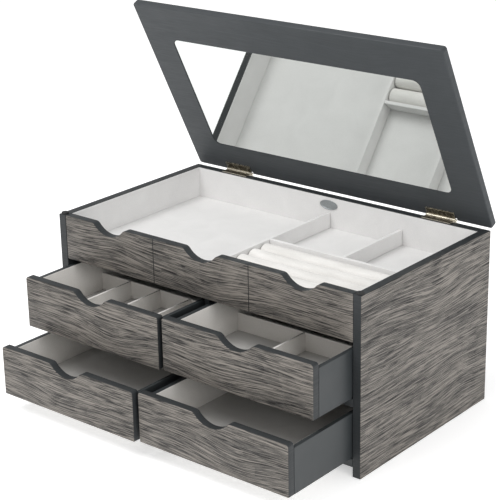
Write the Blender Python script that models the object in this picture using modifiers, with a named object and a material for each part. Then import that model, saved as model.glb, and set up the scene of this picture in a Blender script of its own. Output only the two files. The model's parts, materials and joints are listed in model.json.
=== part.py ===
"""Jewelry box with a mirrored lid, a lined tray and four drawers.

Everything is drawn with the lid shut and the drawers home, in metres, and then
carried by empties that hold the lid open and the drawers part of the way out.
X runs to the right, Y to the back, Z up. While it is drawn, the front of the case
is Y = 0 and the table Z = 0. The last step moves the origin under the middle of
the whole box as it stands.
"""

import math

import bmesh
import bpy
from mathutils import Vector

# Outside of the case
WIDTH = 0.400
DEPTH = 0.228
HEIGHT = 0.191
PANEL = 0.0095

# Gap left where pieces are glued or screwed together, and the rounding of board edges
FIT = 0.0003
EASE = 0.0005

# Levels inside the case
FOOT_HEIGHT = 0.0103
INNER_BOARD = 0.0088
BOTTOM_BAY = 0.0554
MIDDLE_BAY = 0.0585
TRAY_BOARD = 0.006
TRAY_DEPTH = 0.0355

# Fronts and their finger notches
DRAWER_FRONT = 0.009
FRONT_CORNER = 0.003
NOTCH_WIDTH = 0.050
NOTCH_DEPTH = 0.011
NOTCH_SHOULDER = 0.007
GROOVE_WIDTH = 0.0016

# Tray
LINING = 0.0008
LINING_FIT = 0.0001
DIVIDER = 0.004
DIVIDER_HEIGHT = 0.0177
CROSS_DIVIDER_Y = 0.112
ROLL_COUNT = 5
ROLL_HEIGHT = 0.0172
BADGE_WIDTH = 0.0236
BADGE_HEIGHT = 0.0108
BADGE_THICKNESS = 0.0008
BADGE_DROP = 0.009
BUMPER_RADIUS = 0.004
BUMPER_THICKNESS = 0.002

# Drawers, and how far each is pulled out as the box stands
CENTRE_DIVIDER = 0.006
DRAWER_LENGTH = 0.2165
DRAWER_WALL = 0.0047
DRAWER_SLACK = 0.0009
DRAWER_LIFT = 0.0006
DRAWER_TOP_GAP = 0.0015
DRAWER_CENTRE_GAP = 0.002
DRAWER_WALL_INSET = 0.005
DRAWER_WALL_DROP = 0.0058
DRAWER_FLOOR_RISE = 0.006
DRAWER_FLOOR = 0.003
COMPARTMENT_WALL = 0.0022
COMPARTMENT_HEIGHT = 0.020
PULL_MIDDLE_LEFT = 0.063
PULL_MIDDLE_RIGHT = 0.061
PULL_BOTTOM_LEFT = 0.103
PULL_BOTTOM_RIGHT = 0.099

# Lid and mirror
LID_THICKNESS = 0.008
LID_CORNER = 0.003
LID_EASE = 0.001
LID_OVERHANG = 0.0034
LID_OPEN_DEGREES = 63.3
MIRROR_WIDTH = 0.322
MIRROR_HEIGHT = 0.149
MIRROR_THICKNESS = 0.003
MIRROR_CORNER = 0.008
MIRROR_SUNK = 0.0008
MIRROR_FROM_HINGE_EDGE = 0.035

# Hinges
LEAF = 0.0009
LEAF_BED = 0.00015
LEAF_WIDTH = 0.0082
HINGE_X = 0.138
KNUCKLE_RADIUS = 0.0019
KNUCKLE_END = 0.0067
KNUCKLE_MIDDLE = 0.022
PIN_RADIUS = 0.00075
PIN_CLEARANCE = 0.00006
STOP_DEGREES = 95.0
STOP_REACH = 0.0048
STOP_THICKNESS = 0.0007
SCREW_SPACING = 0.025
SCREW_SHANK = 0.0010
SCREW_HEAD = 0.0016
SCREW_LENGTH = 0.006
SCREW_CLEARANCE = 0.0001
HINGE_NOTCH_SLACK = 0.0015
JOIN_STEP = 0.0001

# Places that follow from the sizes above
BASE_TOP = FOOT_HEIGHT + INNER_BOARD
SHELF_BOTTOM = BASE_TOP + BOTTOM_BAY
SHELF_TOP = SHELF_BOTTOM + INNER_BOARD
FRONT_BOTTOM = SHELF_TOP + MIDDLE_BAY
TRAY_FLOOR = HEIGHT - TRAY_DEPTH
INNER_X = WIDTH / 2 - PANEL
INNER_BACK = DEPTH - PANEL
LID_GAP = 2 * LEAF + 4 * LEAF_BED
HINGE_Y = DEPTH + KNUCKLE_RADIUS + FIT
HINGE_Z = HEIGHT + LID_GAP / 2
HINGE_LENGTH = 2 * KNUCKLE_END + KNUCKLE_MIDDLE + 2 * FIT

for leftover in list(bpy.data.objects):
    bpy.data.objects.remove(leftover, do_unlink=True)

box_parts = bpy.data.collections.new("jewelry_box")
bpy.context.scene.collection.children.link(box_parts)
cutters = bpy.data.collections.new("cutters")
cutters.hide_render = True
bpy.context.scene.collection.children.link(cutters)


def new_material(name, colour, roughness, metallic=0.0):
    made = bpy.data.materials.new(name)
    made.use_nodes = True
    shader = made.node_tree.nodes["Principled BSDF"]
    shader.inputs["Base Color"].default_value = (*colour, 1.0)
    shader.inputs["Roughness"].default_value = roughness
    shader.inputs["Metallic"].default_value = metallic
    made.diffuse_color = (*colour, 1.0)
    return made


wood_grain = new_material("grey_wood_grain", (0.20, 0.185, 0.17), 0.55)
charcoal = new_material("charcoal_paint", (0.055, 0.062, 0.067), 0.5)
white_lining = new_material("white_lining", (0.80, 0.79, 0.77), 0.9)
mirror_glass = new_material("mirror_glass", (0.85, 0.87, 0.88), 0.03, 1.0)
aged_brass = new_material("aged_brass", (0.34, 0.30, 0.20), 0.38, 1.0)
badge_metal = new_material("badge_metal", (0.22, 0.24, 0.25), 0.4, 1.0)
black_rubber = new_material("black_rubber", (0.012, 0.012, 0.012), 0.7)

# Where each carrying empty is while the box is shut
home_of = {}


def new_carrier(name, home, parent=None):
    """An empty that carries a group of pieces. Pieces hung on it are placed as if it were home."""
    empty = bpy.data.objects.new(name, None)
    empty.empty_display_size = 0.02
    empty.parent = parent
    empty.location = home
    box_parts.objects.link(empty)
    home_of[empty] = Vector(home)
    return empty


def new_object(name, data, centre, material=None, parent=None):
    """A piece of the box, or a hidden cutter where no material is given."""
    obj = bpy.data.objects.new(name, data)
    obj.parent = parent
    obj.location = Vector(centre) - home_of.get(parent, Vector())
    if material:
        box_parts.objects.link(obj)
        if not data.materials:
            data.materials.append(material)
    else:
        cutters.objects.link(obj)
        obj.hide_render = True
        obj.display_type = "WIRE"
    return obj


def ease_edges(obj, width, segments=2):
    if obj.type == "CURVE":
        weld = obj.modifiers.new("weld_caps", "WELD")
        weld.merge_threshold = 0.00001
    bevel = obj.modifiers.new("eased_edges", "BEVEL")
    bevel.width = width
    bevel.segments = segments
    bevel.limit_method = "ANGLE"
    bevel.angle_limit = math.radians(40)


def combine(obj, other, operation="DIFFERENCE"):
    boolean = obj.modifiers.new(other.name, "BOOLEAN")
    boolean.operation = operation
    boolean.solver = "EXACT"
    boolean.object = other


def board(name, low, high, material=None, parent=None, ease=EASE):
    """A flat board or strip between two opposite corners."""
    low, high = Vector(low), Vector(high)
    shape = bmesh.new()
    bmesh.ops.create_cube(shape, size=1.0)
    bmesh.ops.scale(shape, vec=high - low, verts=shape.verts)
    mesh = bpy.data.meshes.new(name)
    shape.to_mesh(mesh)
    shape.free()
    obj = new_object(name, mesh, (low + high) / 2, material, parent)
    if ease and material:
        ease_edges(obj, ease)
    return obj


def cylinder(name, radius, length, centre, material=None, parent=None, sides=32, squash=1.0):
    """A cylinder along its own Z, pressed to an oval where squash is under 1."""
    shape = bmesh.new()
    bmesh.ops.create_cone(
        shape, cap_ends=True, segments=sides, radius1=radius, radius2=radius, depth=length
    )
    bmesh.ops.scale(shape, vec=(1.0, squash, 1.0), verts=shape.verts)
    mesh = bpy.data.meshes.new(name)
    shape.to_mesh(mesh)
    shape.free()
    return new_object(name, mesh, centre, material, parent)


def turned(name, profile, centre, material=None, parent=None, steps=24):
    """A turned piece about its own Z. The (radius, height) profile runs down its outer side."""
    mesh = bpy.data.meshes.new(name)
    points = [(radius, 0.0, height) for radius, height in profile]
    edges = [(index, index + 1) for index in range(len(points) - 1)]
    mesh.from_pydata(points, edges, [])
    obj = new_object(name, mesh, centre, material, parent)
    screw = obj.modifiers.new("turned", "SCREW")
    screw.axis = "Z"
    screw.angle = math.tau
    screw.steps = steps
    screw.render_steps = steps
    screw.use_merge_vertices = True
    screw.merge_threshold = 0.00001
    return obj


def cut_out(name, outline, thickness, centre, turn, material=None, parent=None):
    """A flat outline carried through a thickness, as a filled curve turned to its place."""
    data = bpy.data.curves.new(name, "CURVE")
    data.dimensions = "2D"
    data.fill_mode = "BOTH"
    data.extrude = thickness / 2
    spline = data.splines.new("POLY")
    spline.points.add(len(outline) - 1)
    spline.use_cyclic_u = True
    for point, (across, up) in zip(spline.points, outline):
        point.co = (across, up, 0.0, 1.0)
    obj = new_object(name, data, centre, material, parent)
    obj.rotation_euler = turn
    return obj


LYING = (0.0, 0.0, 0.0)
UPRIGHT = (math.pi / 2, 0.0, 0.0)
END_ON = (math.pi / 2, 0.0, math.pi / 2)


def drop(obj):
    for modifier in obj.modifiers:
        if modifier.type == "BOOLEAN":
            drop(modifier.object)
    bpy.data.objects.remove(obj, do_unlink=True)


def settled(obj):
    """The mesh of an object as its modifiers leave it, about the origin it was drawn about."""
    bpy.context.view_layer.update()
    graph = bpy.context.evaluated_depsgraph_get()
    mesh = bpy.data.meshes.new_from_object(obj.evaluated_get(graph))
    shape = bmesh.new()
    shape.from_mesh(mesh)
    bmesh.ops.remove_doubles(shape, verts=shape.verts, dist=1e-6)
    bmesh.ops.dissolve_limit(shape, angle_limit=0.01, verts=shape.verts, edges=shape.edges)
    shape.to_mesh(mesh)
    shape.free()
    mesh.transform(obj.matrix_world)
    drop(obj)
    return mesh


def solid_from_outline(name, outline, thickness, centre, turn, material=None, parent=None):
    """A cut-out made a mesh, for a piece that is cut or that cuts."""
    flat = cut_out(f"{name}_outline", outline, thickness, (0, 0, 0), turn)
    return new_object(name, settled(flat), centre, material, parent)


def arc(centre, radius, start, end, steps):
    """Points of an arc, from one angle to another in radians."""
    angles = [start + (end - start) * index / steps for index in range(steps + 1)]
    return [
        (centre[0] + radius * math.cos(angle), centre[1] + radius * math.sin(angle))
        for angle in angles
    ]


def rounded_rectangle(width, height, radius, steps=6):
    across, up = width / 2 - radius, height / 2 - radius
    quarter = math.pi / 2
    return (
        arc((across, -up), radius, -quarter, 0, steps)
        + arc((across, up), radius, 0, quarter, steps)
        + arc((-across, up), radius, quarter, 2 * quarter, steps)
        + arc((-across, -up), radius, 2 * quarter, 3 * quarter, steps)
    )


def notch(centre, top):
    """A finger notch in a top edge, right to left: shoulder, round dip, shoulder.

    The dip and the shoulders are arcs that meet smoothly.
    """
    half = NOTCH_WIDTH / 2
    reach = (half**2 + NOTCH_DEPTH**2) / (2 * NOTCH_DEPTH)
    dip = reach - NOTCH_SHOULDER
    lean = math.atan2(reach - NOTCH_DEPTH, half)
    right = (centre + half, top - NOTCH_SHOULDER)
    left = (centre - half, top - NOTCH_SHOULDER)
    middle = (centre, top - NOTCH_DEPTH + dip)
    return (
        arc(right, NOTCH_SHOULDER, math.pi / 2, math.pi - lean, 5)
        + arc(middle, dip, -lean, lean - math.pi, 12)[1:-1]
        + arc(left, NOTCH_SHOULDER, lean, math.pi / 2, 5)
    )


def front_outline(width, height, notches, corner):
    """A front board's face about its own centre, with its notches given right to left."""
    across, up = width / 2, height / 2
    quarter = math.pi / 2
    right_corner = [(across, up)]
    left_corner = [(-across, up)]
    if corner:
        right_corner = arc((across - corner, up - corner), corner, 0, quarter, 5)
        left_corner = arc((-across + corner, up - corner), corner, quarter, 2 * quarter, 5)
    points = [(-across, -up), (across, -up)] + right_corner
    for centre in notches:
        points += notch(centre, up)
    return points + left_corner


case = new_carrier("case", (0, 0, 0))

# Side panels run down to the table and lift the rest off it.
for side, word in ((-1, "left"), (1, "right")):
    near, far = sorted((side * WIDTH / 2, side * INNER_X))
    board(f"side_panel_{word}", (near, 0, 0), (far, DEPTH, HEIGHT), wood_grain, case)

span = INNER_X - FIT
back_panel = board(
    "back_panel", (-span, INNER_BACK, FOOT_HEIGHT), (span, DEPTH, HEIGHT), charcoal, case
)
board("base_board", (-span, 0, FOOT_HEIGHT), (span, INNER_BACK - FIT, BASE_TOP), charcoal, case)
board("shelf_board", (-span, 0, SHELF_BOTTOM), (span, INNER_BACK - FIT, SHELF_TOP), charcoal, case)

tray_board_top = TRAY_FLOOR - LINING - LINING_FIT
tray_board_bottom = tray_board_top - TRAY_BOARD
board(
    "tray_floor_board",
    (-span, PANEL + FIT, tray_board_bottom),
    (span, INNER_BACK - FIT, tray_board_top),
    charcoal,
    case,
)
for word, low, high in (
    ("upper", SHELF_TOP, tray_board_bottom),
    ("lower", BASE_TOP, SHELF_BOTTOM),
):
    board(
        f"centre_divider_{word}",
        (-CENTRE_DIVIDER / 2, PANEL + FIT, low + FIT),
        (CENTRE_DIVIDER / 2, INNER_BACK - FIT, high - FIT),
        charcoal,
        case,
    )

# Tray front: one fixed board, grooved and notched to look like three small drawers
third = 2 * INNER_X / 3
tray_front_height = HEIGHT - FRONT_BOTTOM
tray_front_z = FRONT_BOTTOM + tray_front_height / 2
tray_front = solid_from_outline(
    "tray_front_board",
    front_outline(2 * span, tray_front_height, (third, 0.0, -third), 0.0),
    PANEL,
    (0, PANEL / 2, tray_front_z),
    UPRIGHT,
    wood_grain,
    case,
)
ease_edges(tray_front, EASE)
groove_side = GROOVE_WIDTH / math.sqrt(2) / 2
for side, word in ((-1, "left"), (1, "right")):
    bar = board(
        f"groove_{word}",
        (side * third / 2 - groove_side, -groove_side, FRONT_BOTTOM - 0.01),
        (side * third / 2 + groove_side, groove_side, HEIGHT + 0.01),
        parent=case,
    )
    bar.rotation_euler.z = math.pi / 4
    combine(tray_front, bar)

# Tray lining: a sheet on the floor, and a band round the walls that is lower behind the notches
lining_x = INNER_X - LINING_FIT
lining_front = PANEL + LINING_FIT
lining_back = INNER_BACK - LINING_FIT
board(
    "tray_floor_lining",
    (-lining_x, lining_front, TRAY_FLOOR - LINING),
    (lining_x, lining_back, TRAY_FLOOR),
    white_lining,
    case,
    ease=0.0,
)
stand = TRAY_FLOOR + LINING_FIT
band_top = HEIGHT - EASE
wall_lining = board(
    "tray_wall_lining",
    (-lining_x, lining_front, stand),
    (lining_x, lining_back, band_top),
    white_lining,
    case,
    ease=0.0,
)
inside_x = lining_x - LINING
inside_front = lining_front + LINING
inside_back = lining_back - LINING
for name, front, low in (
    ("lining_inside", inside_front, stand - 0.01),
    ("lining_front_top", lining_front - 0.01, HEIGHT - NOTCH_DEPTH - 0.001),
):
    back = inside_back if name == "lining_inside" else inside_front + 0.001
    cutter = board(
        name, (-inside_x, front, low), (inside_x, back, band_top + 0.01), parent=case
    )
    combine(wall_lining, cutter)

divider_top = stand + DIVIDER_HEIGHT
cross_front = CROSS_DIVIDER_Y - DIVIDER / 2
cross_back = CROSS_DIVIDER_Y + DIVIDER / 2
right_start = DIVIDER / 2 + FIT
right_end = inside_x - FIT
rear_middle = (right_start + right_end) / 2
for name, left, front, right, back in (
    ("main", -DIVIDER / 2, inside_front + FIT, DIVIDER / 2, inside_back - FIT),
    ("cross", right_start, cross_front, right_end, cross_back),
    (
        "rear",
        rear_middle - DIVIDER / 2,
        cross_back + FIT,
        rear_middle + DIVIDER / 2,
        inside_back - FIT,
    ),
):
    board(
        f"tray_{name}_divider",
        (left, front, stand),
        (right, back, divider_top),
        white_lining,
        case,
    )

# Ring rolls: padded bars with rounded tops, pressed side by side
roll_pitch = (cross_front - inside_front - FIT) / ROLL_COUNT
roll_half = (roll_pitch - FIT) / 2
roll_round = roll_half * 0.85
roll_outline = [(-roll_half, 0.0), (roll_half, 0.0)]
roll_outline += arc(
    (roll_half - roll_round, ROLL_HEIGHT - roll_round), roll_round, 0, math.pi / 2, 8
)
roll_outline += arc(
    (roll_round - roll_half, ROLL_HEIGHT - roll_round), roll_round, math.pi / 2, math.pi, 8
)
for index in range(ROLL_COUNT):
    roll_y = inside_front + FIT + roll_pitch * (index + 0.5)
    roll = cut_out(
        f"ring_roll_{index + 1}",
        roll_outline,
        right_end - right_start - 2 * FIT,
        (rear_middle, roll_y, stand),
        END_ON,
        white_lining,
        case,
    )
    ease_edges(roll, 0.0012, 3)

# Plain oval badge on the rear wall of the tray
badge = cylinder(
    "badge_plate",
    BADGE_WIDTH / 2,
    BADGE_THICKNESS,
    (0, inside_back - LINING_FIT - BADGE_THICKNESS / 2, HEIGHT - BADGE_DROP),
    badge_metal,
    case,
    sides=40,
    squash=BADGE_HEIGHT / BADGE_WIDTH,
)
badge.rotation_euler = UPRIGHT
ease_edges(badge, 0.00025, 1)

# Bumper pads that the lid comes down on
bumper_profile = [
    (0.0, BUMPER_THICKNESS),
    (BUMPER_RADIUS * 0.5, BUMPER_THICKNESS),
    (BUMPER_RADIUS * 0.86, BUMPER_THICKNESS * 0.92),
    (BUMPER_RADIUS, BUMPER_THICKNESS * 0.7),
    (BUMPER_RADIUS, 0.0),
    (0.0, 0.0),
]
for side, word in ((-1, "left"), (1, "right")):
    turned(
        f"bumper_{word}",
        bumper_profile,
        (side * (WIDTH - PANEL) / 2, PANEL / 2, HEIGHT + LEAF_BED),
        black_rubber,
        case,
        steps=32,
    )

# Lid and mirror. Their carrier is on the hinge axis, and turns at the end. The lid stands
# out a little behind the case, and is notched there for the hinge barrels.
lid = new_carrier("lid_on_hinge_axis", (0, HINGE_Y, HINGE_Z), case)
lid_bottom = HEIGHT + LID_GAP
lid_panel = solid_from_outline(
    "lid_panel",
    rounded_rectangle(WIDTH, DEPTH + LID_OVERHANG, LID_CORNER),
    LID_THICKNESS,
    (0, (DEPTH + LID_OVERHANG) / 2, lid_bottom + LID_THICKNESS / 2),
    LYING,
    charcoal,
    lid,
)
ease_edges(lid_panel, LID_EASE)
for side, word in ((-1, "left"), (1, "right")):
    reach = HINGE_LENGTH / 2 + HINGE_NOTCH_SLACK
    hinge_notch = board(
        f"hinge_notch_{word}",
        (side * HINGE_X - reach, DEPTH, lid_bottom - 0.001),
        (side * HINGE_X + reach, DEPTH + 2 * LID_OVERHANG, lid_bottom + LID_THICKNESS + 0.001),
        parent=lid,
    )
    combine(lid_panel, hinge_notch)
mirror_y = DEPTH - MIRROR_FROM_HINGE_EDGE - MIRROR_HEIGHT / 2
pocket = solid_from_outline(
    "mirror_pocket",
    rounded_rectangle(MIRROR_WIDTH + 2 * FIT, MIRROR_HEIGHT + 2 * FIT, MIRROR_CORNER + FIT),
    2 * (MIRROR_SUNK + MIRROR_THICKNESS + FIT),
    (0, mirror_y, lid_bottom),
    LYING,
    parent=lid,
)
combine(lid_panel, pocket)
mirror = cut_out(
    "lid_mirror",
    rounded_rectangle(MIRROR_WIDTH, MIRROR_HEIGHT, MIRROR_CORNER),
    MIRROR_THICKNESS,
    (0, mirror_y, lid_bottom + MIRROR_SUNK + MIRROR_THICKNESS / 2),
    LYING,
    mirror_glass,
    lid,
)
ease_edges(mirror, 0.0004, 1)


def lip_strip(name, start, stop, near, far, thickness, side):
    """A strip behind the barrel. The base leaf's leans down and the lid leaf's up, alike,
    so that they meet flat when the lid is fully open."""
    strip = board(name, (start, near, -thickness / 2), (stop, far, thickness / 2))
    angle = side * math.radians(STOP_DEGREES / 2)
    along = (near + far) / 2
    up = side * (STOP_THICKNESS / 2 + JOIN_STEP)
    strip.location.y = along * math.cos(angle) - up * math.sin(angle)
    strip.location.z = along * math.sin(angle) + up * math.cos(angle)
    strip.rotation_euler.x = angle
    return strip


def leaf_shape(name, upper):
    """One hinge leaf about the hinge axis: plate, knuckles, stop lip and screw holes.

    The base leaf has the two end knuckles and the lid leaf the long middle one.
    Strips that join others stop just inside their outer faces.
    """
    side = 1 if upper else -1
    bed = side * LEAF_BED
    low, high = sorted((bed, bed + side * LEAF))
    clear = KNUCKLE_RADIUS + FIT
    plate_front = DEPTH - LEAF_WIDTH - HINGE_Y
    end = HINGE_LENGTH / 2
    plate = board(
        name, (JOIN_STEP - end, plate_front, low), (end - JOIN_STEP, -clear, high)
    )
    middle = ((-KNUCKLE_MIDDLE / 2, KNUCKLE_MIDDLE / 2),)
    ends = ((-end, -end + KNUCKLE_END), (end - KNUCKLE_END, end))
    for number, (start, stop) in enumerate(middle if upper else ends):
        knuckle = cylinder(
            f"{name}_knuckle_{number}",
            KNUCKLE_RADIUS,
            stop - start,
            ((start + stop) / 2, 0, 0),
        )
        knuckle.rotation_euler.y = math.pi / 2
        inner_start = start + 2 * JOIN_STEP
        inner_stop = stop - 2 * JOIN_STEP
        neck = board(
            f"{name}_neck_{number}",
            (inner_start, -clear - 0.0005, low + JOIN_STEP),
            (inner_stop, -KNUCKLE_RADIUS / 2, high - JOIN_STEP),
        )
        root = lip_strip(
            f"{name}_lip_root_{number}",
            inner_start,
            inner_stop,
            KNUCKLE_RADIUS * 0.6,
            clear + 0.0004,
            STOP_THICKNESS - 2 * JOIN_STEP,
            side,
        )
        for piece in (knuckle, neck, root):
            combine(plate, piece, "UNION")
    lip = lip_strip(f"{name}_lip", -end, end, clear, STOP_REACH, STOP_THICKNESS, side)
    combine(plate, lip, "UNION")
    bore = cylinder(f"{name}_bore", PIN_RADIUS + PIN_CLEARANCE, 0.06, (0, 0, 0), sides=24)
    bore.rotation_euler.y = math.pi / 2
    combine(plate, bore)
    # The countersinks open on the face that shows when the lid is up.
    hole_y = (plate_front - clear) / 2
    head = SCREW_HEAD + SCREW_CLEARANCE
    shank = SCREW_SHANK + SCREW_CLEARANCE
    for number, across in enumerate((-SCREW_SPACING / 2, SCREW_SPACING / 2)):
        hole = turned(
            f"{name}_hole_{number}",
            [
                (0.0, 0.001),
                (head, 0.001),
                (head, 0.0),
                (shank, -LEAF * 0.8),
                (shank, -0.002),
                (0.0, -0.002),
            ],
            (across, hole_y, bed),
        )
        if upper:
            hole.rotation_euler.x = math.pi
        combine(plate, hole)
    return settled(plate)


base_leaf = leaf_shape("base_leaf", False)
lid_leaf = leaf_shape("lid_leaf", True)

# One countersunk screw with a crossed slot, its head at Z = 0 and its point down
screw = turned(
    "screw",
    [
        (0.0, 0.0),
        (SCREW_HEAD, 0.0),
        (SCREW_SHANK, -LEAF * 0.8),
        (SCREW_SHANK, 0.0012 - SCREW_LENGTH),
        (0.0, -SCREW_LENGTH),
    ],
    (0, 0, 0),
)
for number, (across, along) in enumerate(((0.00095, 0.0002), (0.0002, 0.00095))):
    slot = board(f"screw_slot_{number}", (-across, -along, -0.0004), (across, along, 0.001))
    combine(screw, slot)
screw_shape = settled(screw)

pin_end = HINGE_LENGTH / 2 + FIT
pin_head = PIN_RADIUS * 2
pin_profile = [
    (0.0, pin_end + 0.0009),
    (pin_head * 0.6, pin_end + 0.0008),
    (pin_head, pin_end + 0.0003),
    (pin_head, pin_end),
    (PIN_RADIUS, pin_end),
]
pin_profile += [(radius, -height) for radius, height in reversed(pin_profile)]


def pilot_hole(name, centre, parent):
    """The hole in a board for one screw, a little wider and deeper than its shank."""
    radius = SCREW_SHANK + SCREW_CLEARANCE
    profile = [
        (0.0, 0.002),
        (radius, 0.002),
        (radius, 0.0004 - SCREW_LENGTH),
        (0.0, -SCREW_LENGTH - FIT),
    ]
    return turned(name, profile, centre, parent=parent)


screw_y = HINGE_Y + (DEPTH - LEAF_WIDTH - HINGE_Y - KNUCKLE_RADIUS - FIT) / 2
for side, word in ((-1, "left"), (1, "right")):
    centre = (side * HINGE_X, HINGE_Y, HINGE_Z)
    new_object(f"hinge_base_leaf_{word}", base_leaf, centre, aged_brass, case)
    new_object(f"hinge_lid_leaf_{word}", lid_leaf, centre, aged_brass, lid)
    pin = turned(f"hinge_pin_{word}", pin_profile, centre, aged_brass, case)
    pin.rotation_euler.y = math.pi / 2
    for number, step in enumerate((-SCREW_SPACING / 2, SCREW_SPACING / 2), start=1):
        for level, sunk, turn, parent, panel in (
            ("base", -LEAF_BED, 0.0, case, back_panel),
            ("lid", LEAF_BED, math.pi, lid, lid_panel),
        ):
            place = (side * HINGE_X + step, screw_y, HINGE_Z + sunk)
            fixing = new_object(
                f"screw_{level}_{word}_{number}", screw_shape, place, aged_brass, parent
            )
            pilot = pilot_hole(f"pilot_{level}_{word}_{number}", place, parent)
            fixing.rotation_euler.x = turn
            pilot.rotation_euler.x = turn
            combine(panel, pilot)


def drawer(name, side, bottom, top, pull, compartments):
    """One drawer on its own carrier: front, two side walls, back and floor.

    With compartments, its front half has that many, side by side, in front of
    a cross divider at half its length.
    """
    carrier = new_carrier(f"{name}_slide", (side * INNER_X / 2, 0, bottom), case)
    carrier.location.y -= pull
    outer = INNER_X - DRAWER_SLACK
    front_x = side * (outer + DRAWER_CENTRE_GAP) / 2
    front = cut_out(
        f"{name}_front",
        front_outline(outer - DRAWER_CENTRE_GAP, top - bottom, (0.0,), FRONT_CORNER),
        DRAWER_FRONT,
        (front_x, DRAWER_FRONT / 2, (bottom + top) / 2),
        UPRIGHT,
        wood_grain,
        carrier,
    )
    ease_edges(front, EASE)
    near = DRAWER_FRONT + FIT
    far = DRAWER_LENGTH
    wall_top = top - DRAWER_WALL_DROP
    walls = ((outer, outer - DRAWER_WALL), (DRAWER_WALL_INSET + DRAWER_WALL, DRAWER_WALL_INSET))
    for word, faces in zip(("outer", "inner"), walls):
        left, right = sorted(side * face for face in faces)
        board(
            f"{name}_wall_{word}",
            (left, near, bottom),
            (right, far, wall_top),
            charcoal,
            carrier,
        )
    left, right = sorted((side * (walls[0][1] - FIT), side * (walls[1][0] + FIT)))
    board(
        f"{name}_back",
        (left, far - DRAWER_WALL, bottom),
        (right, far, wall_top),
        charcoal,
        carrier,
    )
    floor_top = bottom + DRAWER_FLOOR_RISE + DRAWER_FLOOR
    board(
        f"{name}_floor",
        (left, near, bottom + DRAWER_FLOOR_RISE),
        (right, far - DRAWER_WALL - FIT, floor_top),
        white_lining,
        carrier,
        ease=0.0,
    )
    if not compartments:
        return
    low = floor_top + FIT
    high = floor_top + COMPARTMENT_HEIGHT
    half = COMPARTMENT_WALL / 2
    grid = board(
        f"{name}_compartments",
        (left + FIT, DRAWER_LENGTH / 2 - half, low),
        (right - FIT, DRAWER_LENGTH / 2 + half, high),
        white_lining,
        carrier,
        ease=0.0,
    )
    for number in range(1, compartments):
        across = left + (right - left) * number / compartments
        strip = board(
            f"{name}_compartment_wall_{number}",
            (across - half, near + FIT, low),
            (across + half, DRAWER_LENGTH / 2, high),
            parent=carrier,
        )
        combine(grid, strip, "UNION")


middle = (SHELF_TOP + DRAWER_LIFT, FRONT_BOTTOM - DRAWER_TOP_GAP)
lower = (BASE_TOP + DRAWER_LIFT, SHELF_BOTTOM - DRAWER_LIFT)
drawer("middle_left", -1, *middle, PULL_MIDDLE_LEFT, 4)
drawer("middle_right", 1, *middle, PULL_MIDDLE_RIGHT, 2)
drawer("bottom_left", -1, *lower, PULL_BOTTOM_LEFT, 0)
drawer("bottom_right", 1, *lower, PULL_BOTTOM_RIGHT, 0)

# Swing the lid open, then move the whole box so that the origin is under its middle.
lid.rotation_euler.x = -math.radians(LID_OPEN_DEGREES)
bpy.context.view_layer.update()
graph = bpy.context.evaluated_depsgraph_get()
depths = []
for obj in box_parts.objects:
    if obj.type != "EMPTY":
        shown = obj.evaluated_get(graph)
        depths += [(obj.matrix_world @ vertex.co).y for vertex in shown.to_mesh().vertices]
        shown.to_mesh_clear()
case.location.y = -(min(depths) + max(depths)) / 2

for obj in box_parts.objects:
    if obj.type == "MESH":
        obj.data.shade_smooth()
        obj.data.set_sharp_from_angle(angle=math.radians(35))
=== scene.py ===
import json
import math

import bmesh
import bpy
from mathutils import Matrix, Vector, noise


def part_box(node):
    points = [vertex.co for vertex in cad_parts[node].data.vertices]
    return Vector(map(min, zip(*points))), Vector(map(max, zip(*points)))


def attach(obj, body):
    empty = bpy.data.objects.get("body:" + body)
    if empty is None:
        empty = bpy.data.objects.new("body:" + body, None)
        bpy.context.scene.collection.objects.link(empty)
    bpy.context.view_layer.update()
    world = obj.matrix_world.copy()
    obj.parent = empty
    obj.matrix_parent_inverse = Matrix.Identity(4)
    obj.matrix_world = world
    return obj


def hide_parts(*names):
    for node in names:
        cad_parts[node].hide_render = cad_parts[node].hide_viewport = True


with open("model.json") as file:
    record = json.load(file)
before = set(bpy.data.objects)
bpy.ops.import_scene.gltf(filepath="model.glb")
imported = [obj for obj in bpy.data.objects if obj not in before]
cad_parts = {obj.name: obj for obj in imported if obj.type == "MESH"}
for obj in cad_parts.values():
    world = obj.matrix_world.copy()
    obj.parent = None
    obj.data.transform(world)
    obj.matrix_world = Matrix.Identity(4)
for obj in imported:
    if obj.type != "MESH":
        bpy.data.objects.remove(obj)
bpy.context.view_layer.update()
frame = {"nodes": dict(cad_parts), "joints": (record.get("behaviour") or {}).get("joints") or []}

nodes = frame["nodes"]

# ---------------------------------------------------------------------------
# Side panels
# Two boards of 9.5 mm fibreboard that stand on the table. A grey oak print covers the
# outer face, its grain running front to back. Edges and inner face are sprayed charcoal.
# ---------------------------------------------------------------------------


def linear(code):
    """An sRGB hex colour as the linear values that a shader takes."""
    channels = [int(code[place : place + 2], 16) / 255 for place in (1, 3, 5)]
    return [c / 12.92 if c <= 0.04045 else ((c + 0.055) / 1.055) ** 2.4 for c in channels] + [1.0]


def add(tree, kind, settings, inputs, stops=()):
    """Adds a node with its settings and links. An input is a value, a node or an output.
    Stops are the places and colours on a colour ramp, its two ends first."""
    made = tree.nodes.new(kind)
    for field, value in settings.items():
        setattr(made, field, value)
    for place, (at, code) in enumerate(stops):
        if place > 1:
            made.color_ramp.elements.new(at)
        made.color_ramp.elements[place].position = at
        made.color_ramp.elements[place].color = linear(code)
    for socket, value in inputs.items():
        if isinstance(value, bpy.types.Node):
            value = next(output for output in value.outputs if output.enabled)
        if isinstance(value, bpy.types.NodeSocket):
            tree.links.new(value, made.inputs[socket])
        else:
            made.inputs[socket].default_value = value
    return made


def start_material(name):
    """A new material with an empty tree, and its object coordinates."""
    made = bpy.data.materials.new(name)
    made.use_nodes = True
    tree = made.node_tree
    tree.nodes.clear()
    coords = add(tree, "ShaderNodeTexCoord", {}, {})
    return made, tree, coords.outputs["Object"]


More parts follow.
